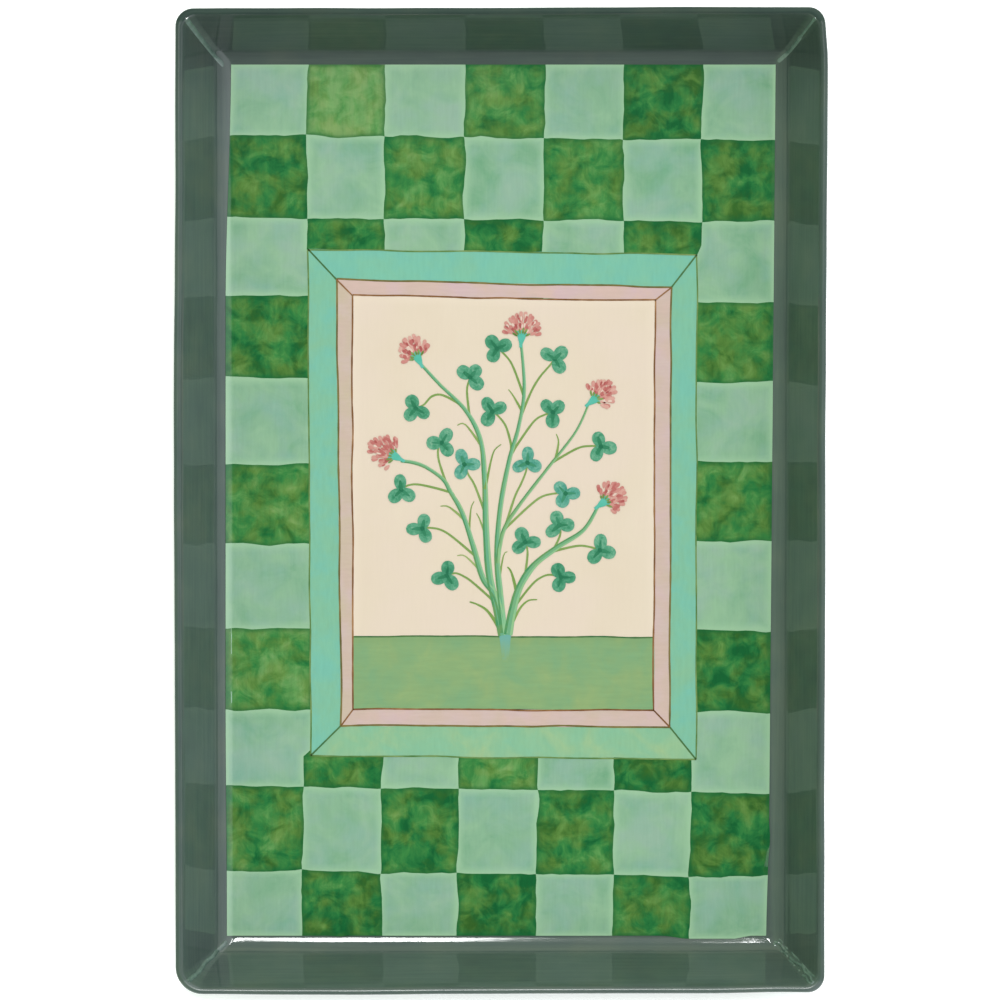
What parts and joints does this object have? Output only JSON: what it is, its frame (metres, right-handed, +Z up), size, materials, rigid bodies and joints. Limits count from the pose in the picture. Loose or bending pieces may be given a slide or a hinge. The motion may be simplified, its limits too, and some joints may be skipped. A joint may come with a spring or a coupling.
{
  "type": "painted serving tray",
  "caption": "Small rectangular sheet-iron serving tray with flared walls, a rolled rim and a painted picture on its flat floor.",
  "frame": {"origin": "on the underside, below the middle of the floor", "axes": "+Z up out of the open side, +Y along the long side towards the top of the picture, +X to the picture's right"},
  "size_m": [0.198, 0.3, 0.02],
  "materials": {
    "lacquered_iron": "gloss",
    "brazing_metal": "painted over, gloss",
    "steel_wire": "plain",
    "picture_print": "gloss clear lacquer"
  },
  "bodies": {
    "root": {"tray_pan": "lacquered_iron", "rim_wire": "steel_wire", "corner_braze_left_near": "brazing_metal", "corner_braze_right_near": "brazing_metal", "corner_braze_right_far": "brazing_metal", "corner_braze_left_far": "brazing_metal", "picture_sheet": "picture_print"}
  },
  "joints": []
}
